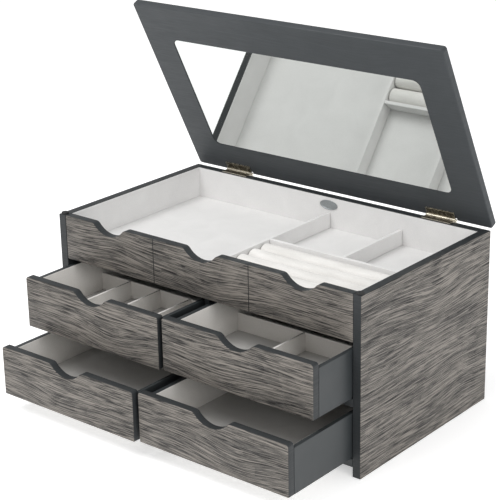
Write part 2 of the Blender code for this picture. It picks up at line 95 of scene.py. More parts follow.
def finish_material(tree, inputs, height=None, depth=0.0):
    """Ends a tree in a Principled BSDF, with a bump of this depth in metres, if any."""
    if height is not None:
        inputs["Normal"] = add(
            tree,
            "ShaderNodeBump",
            {},
            {"Strength": 1.0, "Distance": depth, "Height": height},
        )
    shader = add(tree, "ShaderNodeBsdfPrincipled", {}, inputs)
    add(tree, "ShaderNodeOutputMaterial", {}, {"Surface": shader})


# Settings of the Math and Map Range nodes that recur
PLUS = {"operation": "ADD"}
MINUS = {"operation": "SUBTRACT"}
TIMES = {"operation": "MULTIPLY"}
OVER = {"operation": "DIVIDE"}
TIMES_PLUS = {"operation": "MULTIPLY_ADD"}
EASED = {"interpolation_type": "SMOOTHSTEP"}

GRAIN_WANDER = 0.011
PRINT_WRAP = 0.0004
PRINT_RELIEF = 0.00025
GREY_OAK = (
    (0.10, "#232120"),
    (0.95, "#c0bbb4"),
    (0.32, "#43403c"),
    (0.5, "#625e59"),
    (0.70, "#868079"),
)


def oak_print(
    name,
    along,
    across,
    face_axis,
    face_at,
    outward,
    shift,
    knots,
    coat=("#292c2e", "#303335"),
    turn=0.0,
    lift=(0, 0, 0),
):
    """Melamine board with a grey oak print on one face and sprayed charcoal elsewhere.

    The eye gets fine pale and dark fibres that bend round a knot or two, slow bands along
    the board, a few long light streaks, dark open pores, and a low satin sheen.

    The grain runs along one axis, and the printed face stands at face_at on face_axis and
    looks outward. A knot is its place along and across the grain, its length and width, and
    how far it pushes the fibres, in metres. Turn and lift lay a tilted board flat.
    """
    made, tree, coords = start_material(name)
    if turn:
        flat = {"Vector": coords, "Location": lift, "Rotation": (turn, 0.0, 0.0)}
        coords = add(tree, "ShaderNodeMapping", {}, flat)
    place = add(tree, "ShaderNodeSeparateXYZ", {}, {"Vector": coords})
    # The grain wanders about 4 mm up and down over a hand's length.
    spread = {"Vector": coords, "Scale": (6.0, 6.0, 13.0), "Location": (shift, shift, 0)}
    wander = add(
        tree,
        "ShaderNodeTexNoise",
        {},
        {"Vector": add(tree, "ShaderNodeMapping", {}, spread), "Scale": 1.0, "Detail": 1.5},
    )
    level = {0: wander, 1: GRAIN_WANDER, 2: place.outputs[across]}
    level = add(tree, "ShaderNodeMath", TIMES_PLUS, level)
    for at, height, length, width, push in knots:
        # Round a knot the fibres part, and close again over its length and width.
        off = add(tree, "ShaderNodeMath", MINUS, {0: place.outputs[along], 1: at})
        off = add(tree, "ShaderNodeMath", OVER, {0: off, 1: length})
        off = add(tree, "ShaderNodeMath", TIMES, {0: off, 1: off})
        rise = add(tree, "ShaderNodeMath", MINUS, {0: place.outputs[across], 1: height})
        rise = add(tree, "ShaderNodeMath", OVER, {0: rise, 1: width})
        rise = add(tree, "ShaderNodeMath", TIMES, {0: rise, 1: rise})
        apart = add(tree, "ShaderNodeMath", PLUS, {0: off, 1: rise})
        apart = add(tree, "ShaderNodeMath", TIMES, {0: apart, 1: -1.0})
        bulge = add(tree, "ShaderNodeMath", {"operation": "EXPONENT"}, {0: apart})
        level = add(tree, "ShaderNodeMath", TIMES_PLUS, {0: bulge, 1: push, 2: level})
    board = add(
        tree, "ShaderNodeCombineXYZ", {}, {"X": place.outputs[along], "Y": level, "Z": shift}
    )

    def fibres(length, width, detail, roughness=0.5, depth=1.0):
        """Noise drawn out along the grain, with grains of this length and width in metres."""
        scale = (1 / length, 1 / width, depth)
        return add(
            tree,
            "ShaderNodeTexNoise",
            {},
            {
                "Vector": add(tree, "ShaderNodeMapping", {}, {"Vector": board, "Scale": scale}),
                "Scale": 1.0,
                "Detail": detail,
                "Roughness": roughness,
            },
        )

    # Growth rings: a broad figure, 300 by 50 mm, cut into 24 steps.
    figure = fibres(0.30, 0.050, 1.0, depth=5.0)
    figure = add(tree, "ShaderNodeMath", TIMES, {0: figure, 1: 24.0})
    rings = add(tree, "ShaderNodeMath", {"operation": "FRACT"}, {0: figure})
    # Open pores and light streaks are where the noise stands highest.
    pores = {"Value": fibres(0.024, 0.0011, 1.0, depth=7.0), "From Min": 0.56, "From Max": 0.61}
    pores = add(tree, "ShaderNodeMapRange", EASED, pores)
    streaks = {"Value": fibres(0.150, 0.0013, 1.0, depth=9.0), "From Min": 0.61, "From Max": 0.66}
    streaks = add(tree, "ShaderNodeMapRange", EASED, streaks)
    # Each layer's share in the tone, and what it takes back so that the mean stays.
    layers = (
        (fibres(0.036, 0.0009, 2.0, 0.60), 2.00, -1.00),
        (fibres(0.110, 0.0021, 2.0), 0.26, -0.13),
        (fibres(0.30, 0.014, 2.0, depth=3.0), 0.34, -0.17),
        (fibres(0.09, 0.034, 2.0, depth=2.0), 0.42, -0.21),
        (rings, -0.11, 0.055),
        (pores, -0.40, 0.05),
        (streaks, 0.48, -0.07),
    )
    tone = 0.5
    for layer, share, offset in layers:
        part = add(tree, "ShaderNodeMath", TIMES_PLUS, {0: layer, 1: share, 2: offset})
        tone = add(tree, "ShaderNodeMath", PLUS, {0: part, 1: tone})
    wood = add(tree, "ShaderNodeValToRGB", {}, {"Fac": tone}, stops=GREY_OAK)
    # Charcoal spray on the edges: even, with a trace of cloudiness.
    cloud = add(tree, "ShaderNodeTexNoise", {}, {"Vector": coords, "Scale": 60.0, "Detail": 2.0})
    paint = add(
        tree,
        "ShaderNodeMix",
        {"data_type": "RGBA"},
        {"Factor": cloud, 6: linear(coat[0]), 7: linear(coat[1])},
    )
    # The print ends just round the face's edge.
    side = {"operation": "GREATER_THAN" if outward > 0 else "LESS_THAN"}
    edge = face_at - outward * PRINT_WRAP
    on_face = add(tree, "ShaderNodeMath", side, {0: place.outputs[face_axis], 1: edge})
    colour = add(
        tree, "ShaderNodeMix", {"data_type": "RGBA"}, {"Factor": on_face, 6: paint, 7: wood}
    )
    sheen = add(
        tree,
        "ShaderNodeMapRange",
        {},
        {"Value": tone, "From Min": 0.2, "From Max": 0.8, "To Min": 0.62, "To Max": 0.46},
    )
    relief = add(tree, "ShaderNodeMath", TIMES, {0: tone, 1: on_face})
    finish_material(
        tree,
        {"Base Color": colour, "Roughness": sheen, "Specular IOR Level": 0.4},
        relief,
        depth=PRINT_RELIEF,
    )
    return made


def give(node, made):
    """Puts a material in a CAD node's slot."""
    mesh = nodes[node].data
    mesh.materials.clear()
    mesh.materials.append(made)


SIDE_KNOTS = ((0.060, 0.150, 0.050, 0.024, 0.008), (0.110, 0.040, 0.040, 0.018, -0.006))
SIDE_SHIFT = 3.7

for word, side in (("left", -1), ("right", 1)):
    panel = f"side_panel_{word}"
    low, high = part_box(panel)
    outer = high.x if side > 0 else low.x
    print_name = f"grey_oak_print_side_{word}"
    shift = SIDE_SHIFT * side
    give(panel, oak_print(print_name, "Y", "Z", "X", outer, side, shift, SIDE_KNOTS))

# ---------------------------------------------------------------------------
# Inner boards
# Base, shelf, tray floor, centre dividers and back are fibreboard sprayed charcoal on every
# face, glued and pinned between the side panels.
# ---------------------------------------------------------------------------


def charcoal_spray(name, dark, pale):
    """Charcoal acrylic sprayed on fibreboard: satin, with a fine orange peel that only
    softens its highlights, and faint clouds where the coat is thicker."""
    made, tree, coords = start_material(name)
    cloud = add(tree, "ShaderNodeTexNoise", {}, {"Vector": coords, "Scale": 45.0, "Detail": 3.0})
    colour = add(
        tree,
        "ShaderNodeMix",
        {"data_type": "RGBA"},
        {"Factor": cloud, 6: linear(dark), 7: linear(pale)},
    )
    # Orange peel about 0.8 mm across
    peel = add(tree, "ShaderNodeTexNoise", {}, {"Vector": coords, "Scale": 1200.0, "Detail": 2.0})
    gloss = add(
        tree,
        "ShaderNodeMapRange",
        {},
        {"Value": cloud, "From Min": 0.3, "From Max": 0.7, "To Min": 0.42, "To Max": 0.52},
    )
    finish_material(tree, {"Base Color": colour, "Roughness": gloss}, peel, depth=0.00003)
    return made


charcoal = charcoal_spray("charcoal_spray_on_fibreboard", "#2d3133", "#35393b")
for node in (
    "back_panel",
    "base_board",
    "shelf_board",
    "tray_floor_board",
    "centre_divider_upper",
    "centre_divider_lower",
):
    give(node, charcoal)

# ---------------------------------------------------------------------------
# Tray front
# One fixed board across the top of the case. Two V grooves and three scalloped notches make
# it read as three small drawers. Oak print in front, charcoal on the sawn edges.
# ---------------------------------------------------------------------------

NOTCH_WIDTH = 0.050
NOTCH_DEPTH = 0.011
NOTCH_SHOULDER = 0.007
FRONT_ROUNDING = 0.0007
SHOULDER_STEPS = 8
BOWL_STEPS = 28
SAME_POINT = 1e-6
ON_PLANE = 1e-5
SMOOTH_UNDER = math.radians(38)
GROOVE_HALF = 0.0008
GROOVE_FRONT = 0.002
TRAY_KNOTS = ((0.015, 0.150, 0.045, 0.020, 0.007), (-0.115, 0.170, 0.034, 0.016, -0.005))
TRAY_SHIFT = 9.1


def ease(shape, edges, width, segments, clamp=False):
    """Rounds edges off by this width, in metres."""
    bmesh.ops.bevel(
        shape,
        geom=edges,
        offset=width,
        offset_type="OFFSET",
        affect="EDGES",
        segments=segments,
        profile=0.5,
        material=-1,
        clamp_overlap=clamp,
    )


def cut_at(shape, x):
    """Cuts edges through a mesh at this x, for it to bend or to stay crisp at."""
    bmesh.ops.bisect_plane(
        shape,
        geom=shape.verts[:] + shape.edges[:] + shape.faces[:],
        plane_co=(x, 0, 0),
        plane_no=(1, 0, 0),
        dist=SAME_POINT,
    )


def front_board(low, high, notches, corner):
    """A board standing on edge with notches in its top. Its outline is drawn anticlockwise
    as lines and spun arcs, filled, carried through the thickness and eased all round."""
    shape = bmesh.new()
    front_y = low.y
    path = [shape.verts.new((low.x, front_y, low.z))]

    def line_to(x, z):
        grown = bmesh.ops.extrude_vert_indiv(shape, verts=[path[-1]])
        tip = grown["verts"][0]
        tip.co = (x, front_y, z)
        path.append(tip)

    def arc_about(x, z, angle, steps):
        spun = bmesh.ops.spin(
            shape,
            geom=[path[-1]],
            cent=(x, front_y, z),
            axis=(0, -1, 0),
            angle=angle,
            steps=steps,
            use_merge=False,
        )
        path.append(next(e for e in spun["geom_last"] if isinstance(e, bmesh.types.BMVert)))

    # A notch is a shallow bowl, with a rounded shoulder on each side.
    half = NOTCH_WIDTH / 2
    reach = (half**2 + NOTCH_DEPTH**2) / (2 * NOTCH_DEPTH)
    lean = math.atan2(reach - NOTCH_DEPTH, half)
    shoulder = math.pi / 2 - lean
    shoulder_z = high.z - NOTCH_SHOULDER
    line_to(high.x, low.z)
    if corner:
        line_to(high.x, high.z - corner)
        arc_about(high.x - corner, high.z - corner, math.pi / 2, SHOULDER_STEPS)
    else:
        line_to(high.x, high.z)
    for centre in notches:
        line_to(centre + half, high.z)
        arc_about(centre + half, shoulder_z, shoulder, SHOULDER_STEPS)
        arc_about(centre, shoulder_z - NOTCH_DEPTH + reach, 2 * lean - math.pi, BOWL_STEPS)
        arc_about(centre - half, shoulder_z, shoulder, SHOULDER_STEPS)
    if corner:
        line_to(low.x + corner, high.z)
        arc_about(low.x + corner, high.z - corner, math.pi / 2, SHOULDER_STEPS)
    else:
        line_to(low.x, high.z)
    bmesh.ops.remove_doubles(shape, verts=shape.verts, dist=SAME_POINT)
    shape.edges.new([vert for vert in shape.verts if len(vert.link_edges) == 1])
    face = bmesh.ops.contextual_create(shape, geom=shape.edges[:])["faces"][0]
    grown = bmesh.ops.extrude_face_region(shape, geom=[face])
    back = [part for part in grown["geom"] if isinstance(part, bmesh.types.BMVert)]
    bmesh.ops.translate(shape, vec=(0, high.y - low.y, 0), verts=back)
    bmesh.ops.recalc_face_normals(shape, faces=shape.faces)
    # Both faces' outlines are eased, and the square corners through the thickness.
    rims = [
        edge
        for edge in shape.edges
        if abs(edge.verts[0].co.y - edge.verts[1].co.y) < SAME_POINT
        or edge.calc_face_angle() > 1.0
    ]
    ease(shape, rims, FRONT_ROUNDING, 3, clamp=True)
    return shape


def into_object(name, shape, made):
    """Ends a bmesh as an object at the origin, smooth but for its sharp edges."""
    mesh = bpy.data.meshes.new(name)
    shape.to_mesh(mesh)
    shape.free()
    mesh.materials.append(made)
    mesh.shade_smooth()
    mesh.set_sharp_from_angle(angle=SMOOTH_UNDER)
    obj = bpy.data.objects.new(name, mesh)
    bpy.context.scene.collection.objects.link(obj)
    return obj


low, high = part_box("tray_front_board")
third = (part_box("side_panel_right")[0].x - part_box("side_panel_left")[1].x) / 3
shape = front_board(low, high, (third, 0.0, -third), 0.0)
for centre in (-third / 2, third / 2):
    for across in (centre - GROOVE_HALF, centre, centre + GROOVE_HALF):
        cut_at(shape, across)
    for vert in shape.verts:
        if abs(vert.co.x - centre) < ON_PLANE and vert.co.y < low.y + GROOVE_FRONT:
            vert.co.y += GROOVE_HALF
wood = oak_print(
    "grey_oak_print_tray_front", "X", "Z", "Y", low.y, -1, TRAY_SHIFT, TRAY_KNOTS
)
tray_front = into_object("tray_front", shape, wood)
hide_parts("tray_front_board")
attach(tray_front, "case")

# ---------------------------------------------------------------------------
# Tray lining
# White flock on card: one sheet on the tray floor, and a band round its walls that ends
# just under the charcoal rim.
# ---------------------------------------------------------------------------


def white_flock(name, shade, light):
    """White viscose flock on card: matt and soft, brighter at grazing angles, with a fine
    nap. The nap is drawn 0.6 mm coarse so that it shows."""
    made, tree, coords = start_material(name)
    nap = add(
        tree,
        "ShaderNodeTexNoise",
        {},
        {"Vector": coords, "Scale": 1700.0, "Detail": 3.0, "Roughness": 0.7},
    )
    # Faint hand marks, 30 mm across, where the nap lies another way
    brushed = add(
        tree,
        "ShaderNodeTexNoise",
        {},
        {"Vector": coords, "Scale": 32.0, "Detail": 3.0, "Distortion": 0.8},
    )
    brushed = add(tree, "ShaderNodeMath", TIMES, {0: brushed, 1: 0.35})
    mixed = add(tree, "ShaderNodeMath", TIMES_PLUS, {0: nap, 1: 0.65, 2: brushed})
    tone = add(
        tree,
        "ShaderNodeMapRange",
        {},
        {"Value": mixed, "From Min": 0.34, "From Max": 0.66},
    )
    colour = add(
        tree,
        "ShaderNodeMix",
        {"data_type": "RGBA"},
        {"Factor": tone, 6: linear(shade), 7: linear(light)},
    )
    finish_material(
        tree,
        {
            "Base Color": colour,
            "Roughness": 0.95,
            "Specular IOR Level": 0.2,
            "Sheen Weight": 0.25,
            "Sheen Roughness": 0.5,
        },
        nap,
        depth=0.00012,
    )
    return made


flock = white_flock("white_flock_on_card", "#dddcdb", "#e9e8e7")
for node in (
    "tray_floor_lining",
    "tray_wall_lining",
    "tray_main_divider",
    "tray_cross_divider",
    "tray_rear_divider",
):
    give(node, flock)

# ---------------------------------------------------------------------------
# Ring rolls
# Five foam bars wrapped in white velvet and pressed side by side in the tray, so that rings
# are held in the slits between them. They are cut straight at both ends.
# ---------------------------------------------------------------------------

ROLL_SIDE_ROOM = 0.0009
ROLL_TOP_ROOM = 0.0008
ROLL_END_ROOM = 0.0008
ROLL_FLOOR_ROOM = 0.0002
ROLL_CROWN = 0.86
ROLL_FOOT = 0.003
ROLL_END_CURVE = 0.0015
ROLL_END_TUCK = 0.06
ROLL_END_CUTS = (0.0005, 0.0014)
ROLL_SLACK = 1e-4
CUTS_ALONG = 46
CUTS_ROUND = 4
GLUED_BELOW = 0.001
SWELL = 0.0014
FILLING_FRAMES = 18
UNEVEN = 0.0003
UNEVEN_ABOVE = 0.008


def white_velvet(name):
    """White polyester velvet: soft and matt, its pile catching light along the edges and
    lying in slightly different ways along each roll. The pile is drawn 0.7 mm coarse so
    that it shows."""
    made, tree, coords = start_material(name)
    pile = add(
        tree,
        "ShaderNodeTexNoise",
        {},
        {"Vector": coords, "Scale": 1500.0, "Detail": 3.0, "Roughness": 0.7},
    )
    # The pile's lay changes every 40 mm along a roll and every 8 mm round it.
    lay = {"Vector": coords, "Scale": (25.0, 120.0, 120.0)}
    lay = {"Vector": add(tree, "ShaderNodeMapping", {}, lay), "Scale": 1.0, "Detail": 3.0}
    lay = add(tree, "ShaderNodeTexNoise", {}, lay)
    lay = add(tree, "ShaderNodeMath", TIMES, {0: lay, 1: 0.6})
    mixed = add(tree, "ShaderNodeMath", TIMES_PLUS, {0: pile, 1: 0.4, 2: lay})
    tone = add(
        tree, "ShaderNodeMapRange", {}, {"Value": mixed, "From Min": 0.34, "From Max": 0.66}
    )
    colour = add(
        tree,
        "ShaderNodeMix",
        {"data_type": "RGBA"},
        {"Factor": tone, 6: linear("#dad8d4"), 7: linear("#eeece9")},
    )
    finish_material(
        tree,
        {
            "Base Color": colour,
            "Roughness": 0.9,
            "Specular IOR Level": 0.2,
            "Sheen Weight": 0.4,
            "Sheen Roughness": 0.4,
        },
        pile,
        depth=0.0001,
    )
    return made


def bar(shape, corner, opposite):
    """Adds a square-cut bar between two opposite corners."""
    made = bmesh.ops.create_cube(shape, size=1.0)["verts"]
    bmesh.ops.scale(shape, vec=opposite - corner, verts=made)
    bmesh.ops.translate(shape, vec=(corner + opposite) / 2, verts=made)


velvet = white_velvet("white_velvet_over_foam")
shape = bmesh.new()
roll_boxes = [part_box(f"ring_roll_{number}") for number in range(1, 6)]
for low, high in roll_boxes:
    bar(
        shape,
        low + Vector((ROLL_END_ROOM, ROLL_SIDE_ROOM, ROLL_FLOOR_ROOM)),
        high - Vector((ROLL_END_ROOM, ROLL_SIDE_ROOM, ROLL_TOP_ROOM)),
    )
# A new bar's long edges are over 50 mm, and once they are cut only the others are over 10 mm.
long_edges = [e for e in shape.edges if abs(e.verts[0].co.x - e.verts[1].co.x) > 0.05]
bmesh.ops.subdivide_edges(shape, edges=long_edges, cuts=CUTS_ALONG, use_grid_fill=True)
roll_ends = (roll_boxes[0][0].x + ROLL_END_ROOM, roll_boxes[0][1].x - ROLL_END_ROOM)
for end, inward in zip(roll_ends, (1, -1)):
    for step in ROLL_END_CUTS:
        cut_at(shape, end + inward * step)
round_edges = [e for e in shape.edges if e.calc_length() > 0.01]
bmesh.ops.subdivide_edges(shape, edges=round_edges, cuts=CUTS_ROUND, use_grid_fill=True)
# Round the top edges and the ends before the bars are filled.
for vert in shape.verts:
    low, high = next(
        (low, high)
        for low, high in roll_boxes
        if low.y - ROLL_SLACK < vert.co.y < high.y + ROLL_SLACK
    )
    half_width = (high.y - low.y) / 2 - ROLL_SIDE_ROOM
    middle_y = (low.y + high.y) / 2
    top = high.z - ROLL_TOP_ROOM
    centre_z = top - half_width * ROLL_CROWN
    if vert.co.z > centre_z:
        across = (vert.co.y - middle_y) / half_width
        up = (vert.co.z - centre_z) / (top - centre_z)
        across, up = (
            across * math.sqrt(1 - up * up / 2),
            up * math.sqrt(1 - across * across / 2),
        )
        vert.co.y = middle_y + across * half_width
        vert.co.z = centre_z + up * (top - centre_z)
    from_end = min(vert.co.x - low.x, high.x - vert.co.x) - ROLL_END_ROOM
    if from_end < ROLL_END_CURVE:
        tuck = 1 - math.sqrt(max(0.0, 1 - (1 - from_end / ROLL_END_CURVE) ** 2))
        vert.co.y += (middle_y - vert.co.y) * tuck * ROLL_END_TUCK
        if vert.co.z > low.z + ROLL_FOOT:
            vert.co.z -= (vert.co.z - low.z) * tuck * ROLL_END_TUCK
rolls = into_object("rolls_being_filled", shape, velvet)
before = [v.co.copy() for v in rolls.data.vertices]
foot = [v.index for v in rolls.data.vertices if v.co.z < roll_boxes[0][0].z + GLUED_BELOW]
glued = rolls.vertex_groups.new(name="glued")
glued.add(foot, 1.0, "REPLACE")
owner = [
    next(n for n, (low, high) in enumerate(roll_boxes) if low.y < start.y < high.y)
    for start in before
]
cloth = rolls.modifiers.new("filling", "CLOTH")
cloth.settings.quality = 6
cloth.settings.mass = 0.15
cloth.settings.tension_stiffness = 12
cloth.settings.compression_stiffness = 12
cloth.settings.shear_stiffness = 5
cloth.settings.bending_stiffness = 0.5
cloth.settings.use_pressure = True
cloth.settings.uniform_pressure_force = 5
cloth.settings.vertex_group_mass = "glued"
cloth.settings.effector_weights.gravity = 0
for step in range(1, FILLING_FRAMES + 1):
    bpy.context.scene.frame_set(step)
graph = bpy.context.evaluated_depsgraph_get()
filled = bpy.data.meshes.new_from_object(rolls.evaluated_get(graph))
rolls.modifiers.clear()
for vert, start, end in zip(rolls.data.vertices, before, filled.vertices):
    moved = end.co - start
    if moved.length > SWELL:
        moved *= SWELL / moved.length
    vert.co = start + moved
bpy.context.scene.frame_set(1)
# The velvet is not quite even: it rises and falls by up to 0.3 mm, in waves about 20 mm long
# and 7 mm wide. No roll leaves the room that it has in the tray.
for vert in rolls.data.vertices:
    low, high = roll_boxes[owner[vert.index]]
    lift = noise.noise(Vector((vert.co.x * 45, vert.co.y * 140, 3.0)))
    if vert.co.z > low.z + UNEVEN_ABOVE:
        vert.co.z += UNEVEN * lift
    vert.co.x = min(max(vert.co.x, low.x), high.x)
    vert.co.y = min(max(vert.co.y, low.y), high.y)
    vert.co.z = min(max(vert.co.z, low.z), high.z)
for number in range(1, 6):
    shape = bmesh.new()
    shape.from_mesh(rolls.data)
    others = [v for v in shape.verts if owner[v.index] != number - 1]
    bmesh.ops.delete(shape, geom=others, context="VERTS")
    roll = into_object(f"velvet_roll_{number}", shape, velvet)
    roll.data.shade_smooth()
    smooth = roll.modifiers.new("fine", "SUBSURF")
    smooth.levels = 2
    smooth.render_levels = 2
    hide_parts(f"ring_roll_{number}")
    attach(roll, "case")
bpy.data.objects.remove(rolls, do_unlink=True)

# ---------------------------------------------------------------------------
# Badge
# A small oval plate of stamped zinc, dulled to pewter, stuck to the rear lining. It has a
# raised rim and a plain field.
# ---------------------------------------------------------------------------


def pewter(name):
    """Stamped zinc dulled to pewter: grey metal, soft reflections, faint rub marks."""
    made, tree, coords = start_material(name)
    rubbed = add(
        tree,
        "ShaderNodeTexNoise",
        {},
        {"Vector": coords, "Scale": 900.0, "Detail": 3.0, "Roughness": 0.6},
    )
    colour = add(
        tree,
        "ShaderNodeMix",
        {"data_type": "RGBA"},
        {"Factor": rubbed, 6: linear("#8a8f91"), 7: linear("#b4b8ba")},
    )
    gloss = add(
        tree,
        "ShaderNodeMapRange",
        {},
        {"Value": rubbed, "To Min": 0.34, "To Max": 0.55},
    )
    metal = {"Base Color": colour, "Metallic": 1.0, "Roughness": gloss}
    finish_material(tree, metal, rubbed, depth=0.00002)
    return made


BADGE_EASING = 0.0003
BADGE_RIM = 0.0006
BADGE_FIELD_DEPTH = 0.00025

low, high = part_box("badge_plate")
middle = (low + high) / 2
shape = bmesh.new()
bmesh.ops.create_circle(shape, cap_ends=True, segments=64, radius=1.0)
bmesh.ops.rotate(shape, verts=shape.verts, matrix=Matrix.Rotation(math.pi / 2, 3, "X"))
bmesh.ops.scale(shape, vec=((high.x - low.x) / 2, 1.0, (high.z - low.z) / 2), verts=shape.verts)
bmesh.ops.translate(shape, vec=(middle.x, high.y, middle.z), verts=shape.verts)
grown = bmesh.ops.extrude_face_region(shape, geom=shape.faces[:])
face = next(part for part in grown["geom"] if isinstance(part, bmesh.types.BMFace))
bmesh.ops.translate(shape, vec=(0, low.y - high.y, 0), verts=face.verts[:])
bmesh.ops.recalc_face_normals(shape, faces=shape.faces)
ease(shape, face.edges[:], BADGE_EASING, 3)
# The rim is set off from the field, and then the field is pressed in.
for width, depth in ((BADGE_RIM, 0.0), (BADGE_FIELD_DEPTH, -BADGE_FIELD_DEPTH)):
    front = [f for f in shape.faces if f.calc_center_median().y < low.y + ON_PLANE]
    field = max(front, key=lambda f: f.calc_area())
    bmesh.ops.inset_region(
        shape, faces=[field], thickness=width, depth=depth, use_even_offset=True
    )
badge = into_object("badge", shape, pewter("pewter_dulled_zinc"))
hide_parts("badge_plate")
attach(badge, "case")

# ---------------------------------------------------------------------------
# Bumper pads
# Two self-adhesive pads of moulded black rubber, one on each front corner of the rim. The
# lid comes down on them.
# ---------------------------------------------------------------------------


def black_rubber(name):
    """Moulded black rubber: matt, a little dusty."""
    made, tree, coords = start_material(name)
    dust = add(tree, "ShaderNodeTexNoise", {}, {"Vector": coords, "Scale": 700.0, "Detail": 3.0})
    colour = add(
        tree,
        "ShaderNodeMix",
        {"data_type": "RGBA"},
        {"Factor": dust, 6: linear("#101010"), 7: linear("#262626")},
    )
    finish_material(tree, {"Base Color": colour, "Roughness": 0.6}, dust, depth=0.00004)
    return made


rubber = black_rubber("moulded_black_rubber")
for word in ("left", "right"):
    give(f"bumper_{word}", rubber)

# ---------------------------------------------------------------------------
# Drawers
# Each is a scalloped oak-print front on a box of thin charcoal boards, lined inside with
# white flock: a sheet on the floor and a band round the walls. The two middle ones have low
# card dividers.
# ---------------------------------------------------------------------------

FRONT_CORNER = 0.003
BAND = 0.00045
BAND_EASING = 0.00012
BAND_DROP = 0.0005
BAND_LIFT = 0.0001
BAND_UNDER_NOTCH = 0.0012
KNOT_STRAY = 0.03
KNOT_RISE = 0.014
KNOT_SIZE = (0.046, 0.018, 0.007)


def lining_band(name, low, high, front_top, made):
    """Four strips of flocked card glued round the inside of a drawer. The one behind the
    front is cut lower, to stay under the notch."""
    shape = bmesh.new()
    strips = (
        ((low.x, low.y, low.z), (low.x + BAND, high.y, high.z)),
        ((high.x - BAND, low.y, low.z), (high.x, high.y, high.z)),
        ((low.x + BAND, high.y - BAND, low.z), (high.x - BAND, high.y, high.z)),
        ((low.x + BAND, low.y, low.z), (high.x - BAND, low.y + BAND, front_top)),
    )
    for corner, opposite in strips:
        bar(shape, Vector(corner), Vector(opposite))
    ease(shape, shape.edges[:], BAND_EASING, 2)
    return into_object(name, shape, made)


drawer_flock = white_flock("white_flock_in_drawers", "#e1ded9", "#f1eeea")
# The drawer floors are the same white flock painted darker, as painted shade where the drawer
# walls and the boards above shade them.
painted_shade_floor_flock = white_flock("white_flock_painted_shaded_on_drawer_floors", "#bcbab6", "#d0cecb")
for number, name in enumerate(("middle_left", "middle_right", "bottom_left", "bottom_right")):
    body = f"drawer_{name}"
    low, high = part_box(f"{name}_front")
    centre = (low.x + high.x) / 2
    shape = front_board(low, high, (centre,), FRONT_CORNER)
    # Each front shows its own stretch of the print, and a knot in another place.
    shift = 17.3 + 5.9 * number
    knot = (centre + KNOT_STRAY * math.cos(2.1 * number), low.z + KNOT_RISE, *KNOT_SIZE)
    wood = oak_print(f"grey_oak_print_{name}", "X", "Z", "Y", low.y, -1, shift, (knot,))
    front = into_object(f"{name}_scalloped_front", shape, wood)
    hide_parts(f"{name}_front")
    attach(front, body)
    for part in ("wall_outer", "wall_inner", "back"):
        give(f"{name}_{part}", charcoal)
    give(f"{name}_floor", painted_shade_floor_flock)
    if name.startswith("middle"):
        give(f"{name}_compartments", drawer_flock)
    sides = [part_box(f"{name}_wall_outer"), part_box(f"{name}_wall_inner")]
    sides.sort(key=lambda box: box[0].x)
    floor_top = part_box(f"{name}_floor")[1].z
    back_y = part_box(f"{name}_back")[0].y
    band = lining_band(
        f"{name}_lining",
        Vector((sides[0][1].x, high.y, floor_top + BAND_LIFT)),
        Vector((sides[1][0].x, back_y, sides[0][1].z - BAND_DROP)),
        high.z - NOTCH_DEPTH - BAND_UNDER_NOTCH,
        drawer_flock,
    )
    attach(band, body)

# ---------------------------------------------------------------------------
# Lid
# One 8 mm board sprayed charcoal, with the oak print on its outer face and a pocket routed
# in its inner face for the mirror. It is notched at the back for the hinges.
# ---------------------------------------------------------------------------

LID_OPEN = math.radians(63.3)
# The lid's charcoal is painted lighter than the other boards' charcoal, as painted light on its
# inner face, which leans back towards the lamps.
LID_COAT_PAINTED_LIGHTER = ("#363a3d", "#3d4144")
LID_KNOTS = ((-0.070, 0.020, 0.055, 0.028, 0.013), (0.100, -0.030, 0.044, 0.022, -0.010))
LID_SHIFT = 31.0

# The lid stands open, so its print is laid out on the board swung shut about the hinges.
hinge = next(joint for joint in frame["joints"] if joint["name"] == "lid_hinge")
hinge_line = Vector(hinge["pos_m"])
swing_shut = Matrix.Rotation(LID_OPEN, 3, "X")
shut_shift = hinge_line - swing_shut @ hinge_line
lid_top = max((swing_shut @ v.co + shut_shift).z for v in nodes["lid_panel"].data.vertices)
give(
    "lid_panel",
    oak_print(
        "grey_oak_print_lid",
        "X",
        "Y",
        "Z",
        lid_top,
        1,
        LID_SHIFT,
        LID_KNOTS,
        coat=LID_COAT_PAINTED_LIGHTER,
        turn=LID_OPEN,
        lift=shut_shift,
    ),
)

# ---------------------------------------------------------------------------
# Mirror
# A sheet of 3 mm float glass, silvered behind and ground round at its corners. It is glued
# in the lid's pocket, almost flush with the inner face.
# ---------------------------------------------------------------------------


def silvered_glass(name):
    """Float glass silvered behind: a clear, even reflection with a cool tint and next to
    no blur."""
    made, tree, coords = start_material(name)
    haze = add(tree, "ShaderNodeTexNoise", {}, {"Vector": coords, "Scale": 14.0, "Detail": 2.0})
    gloss = add(
        tree,
        "ShaderNodeMapRange",
        {},
        {"Value": haze, "From Min": 0.3, "From Max": 0.7, "To Min": 0.012, "To Max": 0.03},
    )
    finish_material(
        tree, {"Base Color": linear("#dfe2e0"), "Metallic": 1.0, "Roughness": gloss}
    )
    return made


give("lid_mirror", silvered_glass("silvered_float_glass"))

# ---------------------------------------------------------------------------
# Hinges
# Two small box hinges of antiqued brass: folded leaves, rolled knuckles, a riveted pin and
# countersunk screws with crossed slots.
# ---------------------------------------------------------------------------

leaf_low, leaf_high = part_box("hinge_base_leaf_right")
HINGE_MIDDLE = (leaf_low.x + leaf_high.x) / 2
HINGE_HALF = (leaf_high.x - leaf_low.x) / 2
# Distances of the pale bands, which are painted highlight along with rub wear.
BARREL_WEAR_AND_HIGHLIGHT = (0.0030, 0.0018)
FAR_EDGE_WEAR_AND_HIGHLIGHT = (0.0092, 0.0099)
END_WEAR_AND_HIGHLIGHT = (HINGE_HALF - 0.0010, HINGE_HALF - 0.0003)
RUB_AND_HIGHLIGHT = 0.30


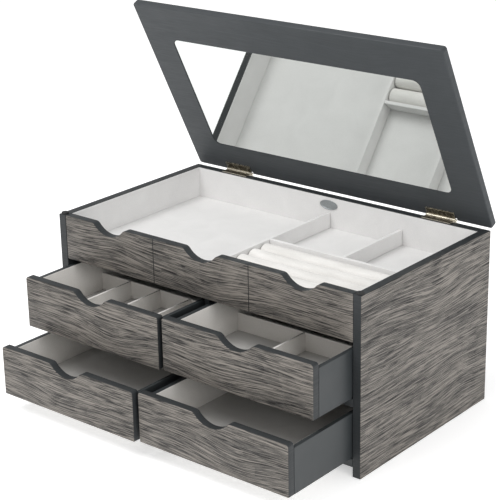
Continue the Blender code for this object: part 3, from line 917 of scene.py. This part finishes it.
def antique_brass(name, deep, bright):
    """Brass darkened in a bath and rubbed back: brown on the flats, and pale on the barrels,
    the leaves' edges and the ends, as painted highlights where these catch the light and as
    wear where hands and the lid rub them, with a soft broken shine."""
    made, tree, coords = start_material(name)
    place = add(tree, "ShaderNodeSeparateXYZ", {}, {"Vector": coords})
    # Distance from the pin's line, and along it from the nearer hinge's middle
    behind = add(tree, "ShaderNodeMath", MINUS, {0: place.outputs["Y"], 1: hinge_line.y})
    behind = add(tree, "ShaderNodeMath", TIMES, {0: behind, 1: behind})
    over = add(tree, "ShaderNodeMath", MINUS, {0: place.outputs["Z"], 1: hinge_line.z})
    over = add(tree, "ShaderNodeMath", TIMES, {0: over, 1: over})
    reach = add(tree, "ShaderNodeMath", PLUS, {0: behind, 1: over})
    reach = add(tree, "ShaderNodeMath", {"operation": "SQRT"}, {0: reach})
    aside = add(tree, "ShaderNodeMath", {"operation": "ABSOLUTE"}, {0: place.outputs["X"]})
    aside = add(tree, "ShaderNodeMath", MINUS, {0: aside, 1: HINGE_MIDDLE})
    aside = add(tree, "ShaderNodeMath", {"operation": "ABSOLUTE"}, {0: aside})
    # Pale on the barrel, the leaves' far edges and the hinge ends: painted highlight, with rub
    # wear.
    wear_and_highlight = 0.0
    for distance, (start, full) in (
        (reach, BARREL_WEAR_AND_HIGHLIGHT),
        (reach, FAR_EDGE_WEAR_AND_HIGHLIGHT),
        (aside, END_WEAR_AND_HIGHLIGHT),
    ):
        limits = {"Value": distance, "From Min": start, "From Max": full}
        edge = add(tree, "ShaderNodeMapRange", EASED, limits)
        wear_and_highlight = add(tree, "ShaderNodeMath", {"operation": "MAXIMUM"}, {0: wear_and_highlight, 1: edge})
    # The bath took in patches about 3 mm across.
    patina = add(
        tree,
        "ShaderNodeTexNoise",
        {},
        {"Vector": coords, "Scale": 380.0, "Detail": 4.0, "Roughness": 0.6},
    )
    rubbed = add(tree, "ShaderNodeMath", TIMES_PLUS, {0: wear_and_highlight, 1: RUB_AND_HIGHLIGHT, 2: patina})
    rubbed = {"Value": rubbed, "From Min": 0.42, "From Max": 0.86}
    rubbed = add(tree, "ShaderNodeMapRange", EASED, rubbed)
    colour = add(
        tree,
        "ShaderNodeMix",
        {"data_type": "RGBA"},
        {"Factor": rubbed, 6: linear(deep), 7: linear(bright)},
    )
    gloss = add(
        tree,
        "ShaderNodeMapRange",
        {},
        {"Value": rubbed, "To Min": 0.5, "To Max": 0.26},
    )
    metal = {"Base Color": colour, "Metallic": 1.0, "Roughness": gloss}
    finish_material(tree, metal, patina, depth=0.00002)
    return made


brass = antique_brass("antiqued_brass", "#524d42", "#d6cfbf")
for word in ("left", "right"):
    for part in ("hinge_base_leaf", "hinge_lid_leaf", "hinge_pin"):
        give(f"{part}_{word}", brass)
    for level in ("base", "lid"):
        for number in (1, 2):
            give(f"screw_{level}_{word}_{number}", brass)

# ---------------------------------------------------------------------------
# Floor, light and camera
# A sheet of white paper under two soft boxes, in a bright and empty room, which the mirror
# shows. The camera has a long lens and stands to the right of the front, a little above.
# ---------------------------------------------------------------------------

FLOOR_GLOW = 0.46
ROOM_GLOW = 0.60
LIT_POINT = (0.0, 0.0, 0.15)
SOFT_BOX_SIDE = 1.2

shape = bmesh.new()
bmesh.ops.create_grid(shape, x_segments=1, y_segments=1, size=6.0)
# White paper: matt and nearly even. It glows a little, so that it stays white all round.
floor_paper, tree, coords = start_material("white_paper_sweep")
grain = add(tree, "ShaderNodeTexNoise", {}, {"Vector": coords, "Scale": 2.0, "Detail": 2.0})
paper = add(
    tree,
    "ShaderNodeMix",
    {"data_type": "RGBA"},
    {"Factor": grain, 6: linear("#f6f6f6"), 7: linear("#fafafa")},
)
finish_material(
    tree,
    {
        "Base Color": paper,
        "Roughness": 0.9,
        "Specular IOR Level": 0.1,
        "Emission Color": linear("#ffffff"),
        "Emission Strength": FLOOR_GLOW,
    },
)
floor_sheet = into_object("floor", shape, floor_paper)

world = bpy.data.worlds.new("bright_room")
world.use_nodes = True
world.node_tree.nodes["Background"].inputs["Color"].default_value = linear("#ffffff")
world.node_tree.nodes["Background"].inputs["Strength"].default_value = ROOM_GLOW
bpy.context.scene.world = world


def soft_box(name, place, power):
    """A square soft box aimed at the jewelry box."""
    data = bpy.data.lights.new(name, "AREA")
    data.shape = "SQUARE"
    data.size = SOFT_BOX_SIDE
    data.energy = power
    light = bpy.data.objects.new(name, data)
    light.location = place
    light.rotation_mode = "QUATERNION"
    light.rotation_quaternion = (Vector(LIT_POINT) - Vector(place)).to_track_quat("-Z", "Y")
    bpy.context.scene.collection.objects.link(light)


soft_box("key", place=(-0.5, -0.9, 1.9), power=24.0)
soft_box("side", place=(2.0, -0.6, 1.0), power=12.0)

camera_data = bpy.data.cameras.new("camera")
camera_data.lens = 113.82
camera_data.shift_x = -0.0048
camera_data.shift_y = 0.0058
camera_data.clip_start = 0.05
camera_data.clip_end = 40.0
camera = bpy.data.objects.new("camera", camera_data)
# The camera's own axes, in the room's
right = Vector((0.77262535, 0.63460733, -0.01798918))
up = Vector((-0.2067151, 0.27826204, 0.93799739))
back = Vector((0.60026573, -0.72100192, 0.34617522))
turned = Matrix((right, up, back)).transposed().to_4x4()
camera.matrix_world = Matrix.Translation((0.99063, -1.176992, 0.73739)) @ turned
bpy.context.scene.collection.objects.link(camera)
bpy.context.scene.camera = camera
bpy.context.scene.view_settings.view_transform = "Standard"
